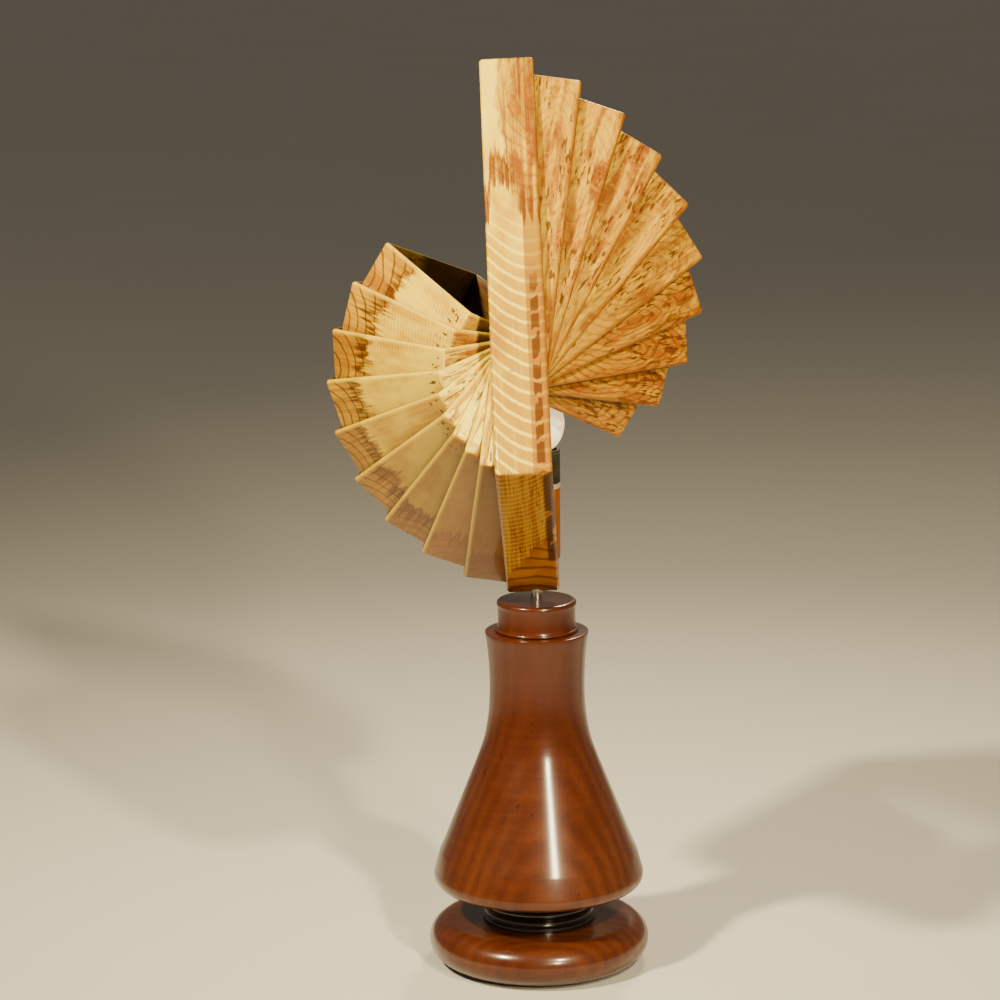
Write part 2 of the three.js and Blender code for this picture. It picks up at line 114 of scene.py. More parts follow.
def make_camera():
    """A long lens a little above the lamp, turned and rolled slightly as the object is seen."""
    yaw = Matrix.Rotation(CAMERA_YAW, 3, "Z")
    place = (Vector(PIVOT) + yaw @ Vector(CAMERA_PLACE)) * MM
    forward = yaw @ Vector((0, math.cos(CAMERA_PITCH), -math.sin(CAMERA_PITCH)))
    right = forward.cross(Vector((0, 0, 1))).normalized()
    up = right.cross(forward).normalized()
    up_rolled = up * math.cos(CAMERA_ROLL) + right * math.sin(CAMERA_ROLL)
    right_rolled = forward.cross(up_rolled).normalized()
    data = bpy.data.cameras.new("camera")
    data.sensor_width = SENSOR
    data.lens = SENSOR * FOCAL_TO_SENSOR
    data.clip_end = 200
    camera = bpy.data.objects.new("camera", data)
    basis = Matrix((right_rolled, up_rolled, -forward)).transposed().to_4x4()
    camera.matrix_world = Matrix.Translation(place) @ basis
    bpy.context.collection.objects.link(camera)
    bpy.context.scene.camera = camera


def make_light(name, azimuth, elevation, size, power):
    """An area light aimed at the shade; azimuth 0 is the front, positive to the right."""
    a, e = math.radians(azimuth), math.radians(elevation)
    way = Vector((math.sin(a) * math.cos(e), -math.cos(a) * math.cos(e), math.sin(e)))
    data = bpy.data.lights.new(name, "AREA")
    data.shape = "DISK"
    data.size = size
    data.energy = power
    data.color = LAMP_COLOR
    data.spread = LAMP_SPREAD
    light = bpy.data.objects.new(name, data)
    light.location = Vector(LAMP_TARGET) + way * LAMP_DISTANCE
    light.rotation_euler = way.to_track_quat("Z", "Y").to_euler()
    bpy.context.collection.objects.link(light)


# ---------------------------------------------------------------- material helper
class Nodes:
    """A material's node tree, built by short calls that return output sockets."""

    def __init__(self, name):
        self.mat = bpy.data.materials.new(name)
        self.mat.use_nodes = True
        self.tree = self.mat.node_tree
        self.bsdf = self.tree.nodes["Principled BSDF"]

    def put(self, socket, value):
        if isinstance(value, bpy.types.NodeSocket):
            self.tree.links.new(value, socket)
        else:
            if socket.type == "RGBA" and len(value) == 3:
                value = (*value, 1)
            socket.default_value = value

    def add(self, kind, ins=None, **props):
        node = self.tree.nodes.new(kind)
        for key, value in props.items():
            setattr(node, key, value)
        for key, value in (ins or {}).items():
            self.put(node.inputs[key], value)
        return node

    def shader(self, **values):
        for key, value in values.items():
            self.put(self.bsdf.inputs[key.replace("_", " ")], value)

    def attribute(self, name, output="Vector"):
        return self.add("ShaderNodeAttribute", attribute_name=name).outputs[output]

    def place(self):
        return self.add("ShaderNodeTexCoord").outputs["Object"]

    def math(self, op, a, b=0.0):
        return self.add("ShaderNodeMath", {0: a, 1: b}, operation=op).outputs[0]

    def mul(self, a, b):
        return self.math("MULTIPLY", a, b)

    def sum(self, a, b):
        return self.math("ADD", a, b)

    def sub(self, a, b):
        return self.math("SUBTRACT", a, b)

    def sine(self, a):
        return self.math("SINE", a)

    def root(self, a):
        return self.math("SQRT", a)

    def vec(self, x, y, z):
        return self.add("ShaderNodeCombineXYZ", {0: x, 1: y, 2: z}).outputs[0]

    def split(self, vector):
        return self.add("ShaderNodeSeparateXYZ", {0: vector}).outputs

    def times(self, vector, factors):
        node = self.add("ShaderNodeVectorMath", {0: vector, 1: factors}, operation="MULTIPLY")
        return node.outputs[0]

    def plus(self, vector, other):
        node = self.add("ShaderNodeVectorMath", {0: vector, 1: other}, operation="ADD")
        return node.outputs[0]

    def noise(self, vector, detail=2.0, rough=0.5, distortion=0.0):
        node = self.add("ShaderNodeTexNoise", {
            "Vector": vector, "Scale": 1.0, "Detail": detail, "Roughness": rough,
            "Distortion": distortion})
        return node.outputs[0]

    def ease(self, value, low, high, out_low=0.0, out_high=1.0):
        node = self.add("ShaderNodeMapRange", {
            "Value": value, "From Min": low, "From Max": high, "To Min": out_low,
            "To Max": out_high}, interpolation_type="SMOOTHSTEP")
        return node.outputs[0]

    def ramp(self, value, stops):
        node = self.add("ShaderNodeValToRGB", {0: value})
        elements = node.color_ramp.elements
        while len(elements) < len(stops):
            elements.new(0.5)
        for element, (position, color) in zip(elements, stops):
            element.position = position
            element.color = (*color, 1)
        return node.outputs[0]

    def mix(self, factor, a, b):
        node = self.add("ShaderNodeMix", data_type="RGBA")
        self.put(node.inputs[0], factor)
        self.put(node.inputs[6], a)
        self.put(node.inputs[7], b)
        return node.outputs[2]

    def bump(self, height, strength, distance):
        node = self.add("ShaderNodeBump", {
            "Height": height, "Strength": strength, "Distance": distance})
        self.put(self.bsdf.inputs["Normal"], node.outputs[0])


# ---------------------------------------------------------------- woods
PALE = (0.95, 0.79, 0.07)
CREAM = (0.80, 0.565, 0.018)
GOLD = (0.56, 0.30, 0.004)
TAN = (0.36, 0.165, 0.003)
AMBER = (0.235, 0.066, 0.003)
BROWN = (0.078, 0.018, 0.003)
DARK = (0.026, 0.0062, 0.002)
GLINT = (0.74, 0.46, 0.006)
RUSSET = (0.36, 0.092, 0.003)
SIENNA = (0.27, 0.085, 0.002)
HONEY = (0.39, 0.205, 0.004)
HONEY_BAND = (0.24, 0.080, 0.003)
DEEP_TAN = (0.34, 0.12, 0.0045)
# gloss lacquer
LACQUER_SPECULAR, LACQUER_COAT = 0.08, 0.32
INNER_SHADE_DEPTH = (0.0018, 0.0029)  # metres into the board over which painted shade darkens the inner faces
# varnished base
VARNISH_LOW, VARNISH_HIGH = (0.066, 0.0128, 0.0022), (0.096, 0.0225, 0.0040)
VARNISH_RING, VARNISH_FIBRE = (0.042, 0.0070, 0.0016), (0.034, 0.0060, 0.0016)
VARNISH_RIPPLE, VARNISH_NICK = (0.145, 0.034, 0.0065), (0.012, 0.004, 0.002)
PAINTED_SHADE_TOP = (0.040, 0.0056, 0.0010)
PAINTED_SHADE_RISE = (0.14, 0.32)  # metres up the base over which painted shade darkens it


def board_coordinates(m):
    """(Along the board from its tip, across it, into it), that shifted per board, its number."""
    grain = m.attribute("grain")
    board = m.attribute("board", "Fac")
    shift = m.vec(m.mul(board, 3.17), m.mul(board, 1.73),
                  m.mul(board, 0.91))
    return m.split(grain), m.plus(grain, shift), board


def rings(m, s, v, centre, squash, pitch, wobble):
    """A wave in -1..1 that runs out in uneven ovals from a place on the board."""
    dx = m.sub(s, centre[0])
    dy = m.mul(m.sub(v, centre[1]), squash)
    far = m.root(m.sum(m.mul(dx, dx), m.mul(dy, dy)))
    return m.sine(m.sum(m.mul(far, TAU / pitch), wobble))


def edges(m, base, v):
    """Paints the boards paler along their left edge as a painted highlight, and darker along the
    right one as a painted shadow line between boards.
    """
    base = m.mix(m.ease(v, 0.0005, 0.0045, 0.6, 0), base, CREAM)
    return m.mix(m.ease(v, 0.0405, 0.0455, 0, 0.7), base, AMBER)


def lacquer(m, color, p, w, relief, strength=0.25):
    """Gloss lacquer over finely pored wood; the boards' inner faces are painted nearly black as
    shade.
    """
    # Painted shade: faces deep inside the frame, away from the outer face, are darkened nearly
    # black.
    color = m.mix(m.ease(w, *INNER_SHADE_DEPTH, 0, 0.85), color, DARK)
    uneven = m.noise(m.times(p, (45, 130, 130)), 2, 0.5)
    m.shader(Base_Color=color, Roughness=m.ease(relief, 0.2, 0.8, 0.5, 0.34),
             Specular_IOR_Level=LACQUER_SPECULAR, Coat_Weight=LACQUER_COAT,
             Coat_Roughness=m.ease(uneven, 0.3, 0.7, 0.06, 0.14))
    height = m.sum(m.mul(relief, 0.35), uneven)
    m.bump(height, strength, 0.0012)


def long_arm_wood():
    """Golden burl: streaks and sparse dark dashes along the board, ringed, with painted glints
    and painted shade that darkens the lower frames.
    """
    m = Nodes("long_arm_wood")
    (s, v, w), p, board = board_coordinates(m)
    cloud = m.noise(m.times(p, (15, 52, 52)), 4, 0.55, 0.6)
    base = m.ramp(cloud, [(0.36, AMBER), (0.46, TAN), (0.54, GOLD), (0.66, TAN)])
    streak = m.noise(m.times(p, (17, 150, 150)), 4, 0.6, 0.5)
    base = m.mix(m.ease(streak, 0.46, 0.62, 0, 0.7), base, AMBER)
    # Painted highlights: pale glint lines along the board.
    glint = m.noise(m.times(p, (26, 170, 170)), 4, 0.62, 0.7)
    base = m.mix(m.ease(glint, 0.48, 0.62, 0, 0.5), base, GLINT)
    curl = m.noise(m.times(p, (95, 40, 40)), 2, 0.5, 1.8)
    base = m.mix(m.ease(curl, 0.50, 0.66, 0, 0.35), base, GOLD)
    low = m.ease(board, 5.2, 7.8)
    # Painted shade: the lower frames' long boards are darkened towards russet.
    base = m.mix(m.mul(low, 0.42), base, RUSSET)
    # Painted highlight: pale glints near the crease, fading on the lower frames.
    gap = m.attribute("to_crease", "Fac")
    crease_glints = m.mul(m.ease(gap, 0.02, 0.10, 0.9, 0), m.ease(glint, 0.44, 0.58))
    base = m.mix(m.mul(crease_glints, m.ease(board, 6, 9, 1, 0.1)), base, PALE)
    wave = rings(m, s, v, (0.072, 0.026), 2.4, 0.0095, m.mul(cloud, 22))
    ring = m.mul(m.ease(wave, 0.2, 1), m.ease(board, 4.5, 8, 0.2, 0.5))
    base = m.mix(m.mul(ring, m.ease(s, 0.12, 0.2, 1, 0.3)), base, BROWN)
    tip = m.ease(s, 0.01, 0.075, 0.05, 0)
    cluster = m.noise(m.times(p, (19, 46, 46)), 2, 0.5)
    clusters = m.ease(m.sum(cluster, tip), 0.49, 0.56)
    dash = m.noise(m.times(p, (95, 420, 420)), 2, 0.5)
    marks = m.mul(clusters, m.ease(dash, 0.555, 0.61))
    base = m.mix(m.mul(marks, 0.85), base, BROWN)
    blot = m.ease(m.noise(m.times(p, (60, 170, 170)), 2, 0.5), 0.55, 0.6)
    near = m.mul(m.ease(s, 0.05, 0.085, 0.9, 0), low)
    base = m.mix(m.mul(m.mul(blot, near), 0.8), base, BROWN)
    base = edges(m, base, v)
    relief = m.noise(m.times(p, (150, 1300, 1300)), 3, 0.6)
    lacquer(m, base, p, w, m.sub(relief, m.mul(marks, 0.3)), 0.4)
    return m.mat


def short_arm_wood():
    """A tan tip with thin dark arcs and a combed brown band, then cream sapwood with knots; the
    lower frames' boards are darkened as painted shade.
    """
    m = Nodes("short_arm_wood")
    (s, v, w), p, board = board_coordinates(m)
    wander = m.noise(m.times(p, (17, 30, 30)), 3, 0.55)
    edge = m.sum(s, m.mul(m.sub(wander, 0.5), 0.075))
    comb = m.noise(m.times(p, (11, 430, 430)), 3, 0.55)
    teeth = m.mul(m.sub(comb, 0.5), 0.06)
    combed = m.sum(edge, teeth)
    heart = m.ease(combed, 0.054, 0.066, 1, 0)
    band = m.mul(m.ease(combed, 0.030, 0.046), heart)
    wave = rings(m, s, v, (-0.012, 0.034), 1.25, 0.0135, m.mul(wander, 8))
    tan = m.mix(m.ease(wander, 0.35, 0.65), TAN, GOLD)
    tan = m.mix(m.ease(comb, 0.42, 0.62, 0, 0.45), tan, AMBER)
    tan = m.mix(m.ease(wave, 0.72, 0.97, 0, 0.75), tan, BROWN)
    tan = m.mix(m.mul(band, m.ease(comb, 0.36, 0.6, 0.35, 0.9)), tan, BROWN)
    bow = m.mul(m.mul(v, v), -9)
    line = m.sum(m.mul(m.sum(s, bow), TAU / 0.0046),
                  m.mul(wander, 16))
    stripe = m.ease(m.sine(line), -0.3, 1)
    patch = m.noise(m.times(p, (12, 24, 24)), 3, 0.6)
    cream = m.mix(m.ease(patch, 0.38, 0.62), GOLD, CREAM)
    cream = m.mix(m.mul(stripe, m.ease(patch, 0.4, 0.65, 0.5, 0.2)), cream, TAN)
    cream = m.mix(m.ease(comb, 0.46, 0.66, 0, 0.15), cream, PALE)
    gap = m.attribute("to_crease", "Fac")
    knots = m.mul(m.ease(gap, 0.006, 0.010), m.ease(gap, 0.020, 0.026, 1, 0))
    knot = m.ease(m.noise(m.times(p, (130, 260, 260)), 1, 0.5), 0.6, 0.66)
    cream = m.mix(m.mul(m.mul(knots, knot), 0.9), cream, BROWN)
    color = m.mix(heart, cream, tan)
    # Painted shade: boards of the lower frames, facing down and under the outermost frame's
    # shadow, are darkened.
    color = m.mix(m.ease(board, 2.3, 7.2, 0.8, 0), color, SIENNA)
    color = m.mix(m.ease(board, 2.2, 3.4, 0.55, 0), color, BROWN)
    color = edges(m, color, v)
    relief = m.noise(m.times(p, (900, 240, 900)), 3, 0.6)
    lacquer(m, color, p, w, relief)
    return m.mat


def front_long_arm_wood():
    """The outermost frame's long boards: brown burl at the top, then honey with pale lines."""
    m = Nodes("front_long_arm_wood")
    (s, v, w), p, board = board_coordinates(m)
    wander = m.noise(m.times(p, (22, 45, 45)), 4, 0.6, 0.3)
    off = m.sub(wander, 0.5)
    comb = m.noise(m.times(p, (10, 300, 300)), 3, 0.55)
    jag = m.mul(m.sub(comb, 0.5), 0.07)
    low = m.sum(m.sum(s, m.mul(off, 0.035)), jag)
    drop = m.sum(m.ease(v, 0.016, 0.030, 0, 0.030), m.ease(v, 0.003, 0.006, 0.034, 0))
    low = m.sub(low, drop)
    heart_end = m.ease(low, 0.118, 0.124, 1, 0)
    side = m.sum(v, m.sum(m.mul(off, 0.03), m.mul(jag, 0.09)))
    right = m.ease(side, 0.0145, 0.019)
    zone = m.ease(low, 0.084, 0.094)
    heart = m.mul(heart_end, m.math("MAXIMUM", right, zone))
    wave = rings(m, s, v, (0.03, 0.05), 1.5, 0.0105, m.mul(wander, 12))
    burl = m.mix(m.ease(wander, 0.38, 0.62), AMBER, GOLD)
    burl = m.mix(m.ease(comb, 0.46, 0.62, 0, 0.45), burl, CREAM)
    burl = m.mix(m.ease(comb, 0.36, 0.50, 0.5, 0), burl, AMBER)
    burl = m.mix(m.ease(wave, 0.4, 1, 0, 0.3), burl, BROWN)
    burl = m.mix(m.ease(wander, 0.56, 0.44, 0, 0.4), burl, AMBER)
    burl = m.mix(m.mul(zone, m.ease(comb, 0.4, 0.6, 0.45, 0.1)), burl, BROWN)
    pore = m.ease(m.noise(m.times(p, (170, 700, 700)), 2, 0.5), 0.62, 0.68)
    burl = m.mix(m.mul(pore, 0.6), burl, BROWN)
    # the honey part: thin pale lines that fall steeply at the left and level out to the right
    run = m.sub(1.0, m.math("DIVIDE", v, 0.037))
    fall = m.mul(m.mul(run, run), 0.024)
    phase = m.sum(m.mul(m.sum(s, fall), TAU / 0.0125),
                   m.mul(wander, 3.0))
    line = m.mul(m.ease(m.sine(phase), 0.45, 0.95), m.ease(s, 0.13, 0.19))
    honey = m.mix(m.ease(wander, 0.35, 0.65), CREAM, GOLD)
    honey = m.mix(m.ease(s, 0.13, 0.25, 0.1, 0.85), honey, HONEY)
    honey = m.mix(m.mul(line, 0.62), honey, PALE)
    honey = m.mix(m.ease(comb, 0.5, 0.7, 0, 0.15), honey, PALE)
    honey = m.mix(m.ease(s, 0.11, 0.05, 0, 0.6), honey, PALE)
    patch = m.mul(m.ease(s, 0.232, 0.25), m.ease(s, 0.275, 0.292, 1, 0))
    patch = m.mul(patch, m.ease(v, 0.008, 0.018, 1, 0))
    honey = m.mix(m.mul(patch, m.ease(comb, 0.4, 0.6, 0.1, 0.5)), honey, AMBER)
    band = m.mul(m.ease(v, 0.0300, 0.0308), m.ease(s, 0.12, 0.16))
    honey = m.mix(m.mul(band, 0.75), honey, HONEY_BAND)
    column = m.mul(m.ease(v, 0.0332, 0.0342), m.ease(v, 0.0395, 0.0410, 1, 0))
    beat = m.sum(m.mul(s, TAU / 0.019), m.mul(wander, 14))
    blots = m.mul(m.ease(m.sine(beat), -0.8, -0.55), m.ease(s, 0.19, 0.225))
    honey = m.mix(m.mul(m.mul(column, blots), 0.85), honey, BROWN)
    color = m.mix(heart, honey, burl)
    # Painted shadow line: darker towards amber along the right edge, between boards.
    color = m.mix(m.ease(v, 0.0405, 0.0455, 0, 0.45), color, AMBER)
    relief = m.noise(m.times(p, (160, 1500, 1500)), 3, 0.6)
    lacquer(m, color, p, w, relief)
    return m.mat


def front_short_arm_wood():
    """The outermost frame's short boards: golden brown, cross-striped, dark along one edge."""
    m = Nodes("front_short_arm_wood")
    (s, v, w), p, board = board_coordinates(m)
    wander = m.noise(m.times(p, (15, 40, 40)), 4, 0.55)
    off = m.sub(wander, 0.5)
    comb = m.noise(m.times(p, (9, 380, 380)), 3, 0.55)
    jag = m.mul(m.sub(comb, 0.5), 0.05)
    edge = m.sum(m.sum(s, m.mul(off, 0.06)), jag)
    edge = m.sub(edge, m.ease(v, 0.006, 0.036, 0, 0.055))
    heart = m.ease(edge, 0.052, 0.064, 1, 0)
    bow = m.mul(m.mul(v, v), -16)
    line = m.sum(m.mul(m.sum(s, bow), TAU / 0.0088),
                  m.mul(wander, 5))
    stripe = m.ease(m.sine(line), 0.1, 0.95)
    gold = m.mix(m.ease(comb, 0.4, 0.6), AMBER, TAN)
    gold = m.mix(m.mul(stripe, 0.22), gold, CREAM)
    dash = m.ease(m.noise(m.times(p, (40, 420, 420)), 2, 0.5), 0.645, 0.69)
    gold = m.mix(m.mul(dash, 0.7), gold, BROWN)
    wave = rings(m, s, v, (-0.02, 0.022), 1.4, 0.021, m.mul(wander, 6))
    deep = m.mix(m.ease(wander, 0.35, 0.65), AMBER, DEEP_TAN)
    deep = m.mix(m.ease(wave, 0.4, 0.97, 0, 0.75), deep, BROWN)
    color = m.mix(heart, gold, deep)
    column = m.mul(m.ease(v, 0.0365, 0.0385), m.ease(s, 0.065, 0.08))
    ragged = m.ease(m.noise(m.times(p, (35, 90, 90)), 3, 0.6), 0.36, 0.44)
    color = m.mix(m.mul(m.mul(column, ragged), 0.85), color, DARK)
    relief = m.noise(m.times(p, (900, 240, 900)), 3, 0.6)
    lacquer(m, color, p, w, relief)
    return m.mat


def mahogany():
    """Reddish-brown gloss varnish over wood with a faint cathedral figure and cross ripple,
    darkened towards the top as painted shade.
    """
    m = Nodes("mahogany")
    place = m.place()
    x, y, z = m.split(place)
    warp = m.noise(m.times(place, (9, 9, 3.5)), 3, 0.55)
    ax = m.sum(m.sub(x, 0.012), m.mul(z, -0.10))
    ay = m.sum(m.sum(y, 0.155), m.mul(z, 0.08))
    far = m.root(m.sum(m.mul(ax, ax), m.mul(ay, ay)))
    phase = m.sum(m.mul(far, TAU / 0.013), m.mul(warp, 14))
    ring = m.ease(m.sine(phase), -1, 1)
    fibre = m.noise(m.times(place, (380, 380, 12)), 4, 0.6)
    cloud = m.noise(m.times(place, (13, 13, 6)), 3, 0.55)
    base = m.mix(m.ease(cloud, 0.35, 0.65), VARNISH_LOW, VARNISH_HIGH)
    base = m.mix(m.mul(ring, 0.45), base, VARNISH_RING)
    base = m.mix(m.ease(fibre, 0.45, 0.7, 0, 0.35), base, VARNISH_FIBRE)
    ripple = m.noise(m.times(place, (24, 24, 165)), 2, 0.5, 0.5)
    base = m.mix(m.ease(ripple, 0.48, 0.7, 0, 0.12), base, VARNISH_RIPPLE)
    nick = m.ease(m.noise(m.times(place, (150, 150, 150)), 2, 0.5), 0.715, 0.74)
    base = m.mix(m.mul(nick, 0.7), base, VARNISH_NICK)
    # Painted shade: the base darkens towards the collar, where the shade's shadow falls.
    base = m.mix(m.ease(z, *PAINTED_SHADE_RISE, 0, 0.5), base, PAINTED_SHADE_TOP)
    m.shader(Base_Color=base, Roughness=m.ease(cloud, 0.3, 0.7, 0.27, 0.36),
             Specular_IOR_Level=0.2, Coat_Weight=0.7, Coat_Roughness=0.16)
    relief = m.sum(m.mul(ripple, 0.7), m.mul(fibre, 0.1))
    m.bump(relief, 0.25, 0.0010)
    return m.mat


def dark_wood():
    """Near-black stain under a smooth gloss, with only a trace of grain round the turning."""
    m = Nodes("dark_wood")
    place = m.place()
    grain = m.noise(m.times(place, (22, 22, 420)), 3, 0.5)
    base = m.mix(m.ease(grain, 0.4, 0.7), (0.0045, 0.0030, 0.0025), (0.016, 0.0065, 0.0040))
    m.shader(Base_Color=base, Roughness=m.ease(grain, 0.3, 0.7, 0.16, 0.24), Coat_Weight=0.5,
             Coat_Roughness=0.08)
    m.bump(grain, 0.05, 0.0003)
    return m.mat


def riser_wood():
    """Reddish-brown wood with upright fibres, almost matt."""
    m = Nodes("riser_wood")
    place = m.place()
    fibre = m.noise(m.times(place, (260, 260, 16)), 5, 0.6)
    cloud = m.noise(m.times(place, (40, 40, 18)), 3, 0.6)
    base = m.ramp(fibre, [(0.3, (0.11, 0.027, 0.006)), (0.6, (0.24, 0.070, 0.012)),
                          (0.8, (0.38, 0.15, 0.036))])
    base = m.mix(m.ease(cloud, 0.45, 0.7, 0, 0.4), base, (0.10, 0.027, 0.008))
    m.shader(Base_Color=base, Roughness=m.ease(fibre, 0.3, 0.7, 0.38, 0.5),
             Specular_IOR_Level=0.05, Coat_Weight=0.02)
    m.bump(fibre, 0.2, 0.0005)
    return m.mat


def plain_wood(name, light, deep, stretch):
    """Unvarnished wood with fibres along the axis that is stretched least."""
    m = Nodes(name)
    place = m.place()
    fibre = m.noise(m.times(place, stretch), 5, 0.6)
    base = m.ramp(fibre, [(0.3, deep), (0.7, light)])
    m.shader(Base_Color=base, Roughness=m.ease(fibre, 0.3, 0.7, 0.4, 0.55))
    m.bump(fibre, 0.2, 0.0004)
    return m.mat


# ---------------------------------------------------------------- other materials
def metal(name, color, rough, stretch):
    """Brushed metal with dull stains."""
    m = Nodes(name)
    place = m.place()
    brushed = m.noise(m.times(place, stretch), 3, 0.6)
    stain = m.noise(m.times(place, (90, 90, 90)), 4, 0.6)
    dull = tuple(0.72 * c for c in color)
    base = m.mix(m.ease(stain, 0.45, 0.75, 0, 0.6), color, dull)
    m.shader(Base_Color=base, Metallic=1.0,
             Roughness=m.ease(brushed, 0.3, 0.7, rough - 0.07, rough + 0.1))
    m.bump(brushed, 0.08, 0.0003)
    return m.mat


def moulded(name, color, other, rough, coat=0.0):
    """A moulded surface: cloudy colour and a very fine grain."""
    m = Nodes(name)
    place = m.place()
    grain = m.noise(m.times(place, (1400, 1400, 1400)), 3, 0.6)
    cloud = m.noise(m.times(place, (55, 55, 55)), 4, 0.6)
    base = m.mix(m.ease(cloud, 0.35, 0.7), color, other)
    m.shader(Base_Color=base, Roughness=m.ease(cloud, 0.3, 0.7, rough - 0.05, rough + 0.08),
             Coat_Weight=coat)
    m.bump(grain, 0.1, 0.0002)
    return m.mat


def felt():
    """Dark green felt."""
    m = Nodes("felt")
    place = m.place()
    fuzz = m.noise(m.times(place, (900, 900, 900)), 4, 0.7)
    cloud = m.noise(m.times(place, (60, 60, 60)), 3, 0.6)
    base = m.mix(m.ease(fuzz, 0.35, 0.7), (0.012, 0.03, 0.018), (0.05, 0.09, 0.06))
    base = m.mix(m.ease(cloud, 0.45, 0.7, 0, 0.4), base, (0.02, 0.04, 0.03))
    m.shader(Base_Color=base, Roughness=0.95, Sheen_Weight=0.4)
    m.bump(fuzz, 0.5, 0.0006)
    return m.mat


def opal(name, color, other, painted_glow):
    """Opal plastic of a bulb: soft, slightly warm, with faint mottling and a warm emission that
    paints light on the unlit bulb.
    """
    m = Nodes(name)
    place = m.place()
    cloud = m.noise(m.times(place, (70, 70, 70)), 4, 0.6)
    grain = m.noise(m.times(place, (1200, 1200, 1200)), 2, 0.5)
    base = m.mix(m.ease(cloud, 0.35, 0.7), color, other)
    m.shader(Base_Color=base, Roughness=m.ease(cloud, 0.3, 0.7, 0.3, 0.4), Subsurface_Weight=0.15,
             Subsurface_Radius=(0.004, 0.003, 0.002), Emission_Color=(1.0, 0.74, 0.36, 1),
             Emission_Strength=painted_glow)
    m.bump(grain, 0.05, 0.0002)
    return m.mat


# ---------------------------------------------------------------- mesh helpers
def finish_mesh(name, verts, faces, sharp=38):
    """An object from millimetre vertices, smooth but for edges sharper than so many degrees."""
    mesh = bpy.data.meshes.new(name)
    mesh.from_pydata([Vector(v) * MM for v in verts], [], faces)
    mesh.validate()
    for polygon in mesh.polygons:
        polygon.use_smooth = True
    mesh.set_sharp_from_angle(angle=math.radians(sharp))
    obj = bpy.data.objects.new(name, mesh)
    bpy.context.collection.objects.link(obj)
    return obj


def turned(name, profile, segments=128, sharp=32):
    """Turns a closed profile of (radius, height) pairs about Z; points on the axis are poles."""
    verts, loops = [], []
    for r, z in profile:
        if r < 1e-6:
            loops.append([len(verts)])
            verts.append((0, 0, z))
        else:
            loops.append(list(range(len(verts), len(verts) + segments)))
            verts += [(r * math.cos(TAU * i / segments), r * math.sin(TAU * i / segments), z)
                      for i in range(segments)]
    faces = []
    count = len(loops)
    closed = len(loops[0]) > 1
    for j in range(count if closed else count - 1):
        a, b = loops[j], loops[(j + 1) % count]
        if len(a) == 1 and len(b) == 1:
            continue
        for i in range(segments):
            k = (i + 1) % segments
            if len(a) == 1:
                faces.append((a[0], b[k], b[i]))
            elif len(b) == 1:
                faces.append((a[i], a[k], b[0]))
            else:
                faces.append((a[i], a[k], b[k], b[i]))
    return finish_mesh(name, verts, faces, sharp)


def arc(r, z, sizes, start, end, steps):
    """Points on an ellipse about (r, z), angles in degrees."""
    out = []
    for i in range(steps + 1):
        a = math.radians(start + (end - start) * i / steps)
        out.append((r + sizes[0] * math.cos(a), z + sizes[1] * math.sin(a)))
    return out


def smooth_curve(points, per_span):
    """A Catmull-Rom curve through the points."""
    out = []
    for i in range(len(points) - 1):
        p0 = points[max(i - 1, 0)]
        p1, p2 = points[i], points[i + 1]
        p3 = points[min(i + 2, len(points) - 1)]
        for j in range(per_span):
            t = j / per_span
            out.append(tuple(
                0.5 * (2 * b + (c - a) * t + (2 * a - 5 * b + 4 * c - d) * t * t
                       + (3 * b - 3 * c + d - a) * t ** 3)
                for a, b, c, d in zip(p0, p1, p2, p3)))
    out.append(points[-1])
    return out


def threaded(radius, z0, z1, pitch, depth):
    """The profile of ridges along a rod."""
    pts = []
    z = z0
    while z < z1 - pitch:
        pts += [(radius, z), (radius, z + 0.35 * pitch), (radius - depth, z + 0.62 * pitch),
                (radius - depth, z + 0.72 * pitch)]
        z += pitch
    return pts


def dress(obj, material, body, slot, *nodes):
    """Gives a visible piece its material and body, and hides the CAD nodes that it stands for;
    slot is not used.
    """
    obj.data.materials.clear()
    obj.data.materials.append(material)
    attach(obj, body)
    if nodes:
        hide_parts(*nodes)


def dress_node(node, material):
    """Shows a CAD piece as it is, in a material."""
    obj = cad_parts[node]
    obj.data.materials.clear()
    obj.data.materials.append(material)


# ---------------------------------------------------------------- the frames
def board_section(thickness):
    """The board's section as (depth from the outer face, distance across) pairs, all round."""
    edge, ease = thickness - EDGE_FLAT - INNER_EASE, INNER_EASE
    pts = []

    def corner(w, v, r, start, steps):
        for i in range(steps + 1):
            a = math.radians(start + 90 * i / steps)
            pts.append((w - r * math.cos(a), v + r * math.sin(a)))

    for i in range(1, 8):
        pts.append((0.0, edge + (BOARD_W - 2 * edge) * i / 8))
    corner(edge, BOARD_W - edge, edge, 0, 6)
    corner(thickness - ease, BOARD_W - ease, ease, 90, 2)
    for i in range(1, 4):
        pts.append((thickness, BOARD_W - ease - (BOARD_W - 2 * ease) * i / 4))
    corner(thickness - ease, ease, ease, 180, 2)
    corner(edge, edge, edge, 270, 6)
    return pts


def kite_corners(k):
    """Frame k's outer corners about the pivot: upper tip, front side, lower tip, back side."""
    nested = NEST_PITCH * (k - 1)
    up = TIP_UP - nested / math.sin(HALF_UP)
    down = TIP_DOWN - nested / math.sin(HALF_DOWN)
    a, b = math.tan(HALF_UP), math.tan(HALF_DOWN)
    cu = (up * a - down * b) / (a + b)
    cy = (up - cu) * a
    cu -= SIDE_DROP * max(0, 1 - (k - 1) / DROP_FRAMES)
    return [Vector((up, 0)), Vector((cu, -cy)), Vector((-down, 0)), Vector((cu, cy))]


def frame_angle(k):
    """How far frame k is turned from upright; the steps grow evenly towards the inside."""
    n = k - 1
    return math.radians(FIRST_ANGLE + ANGLE_STEP * n + ANGLE_GROWTH * n * (n - 1))


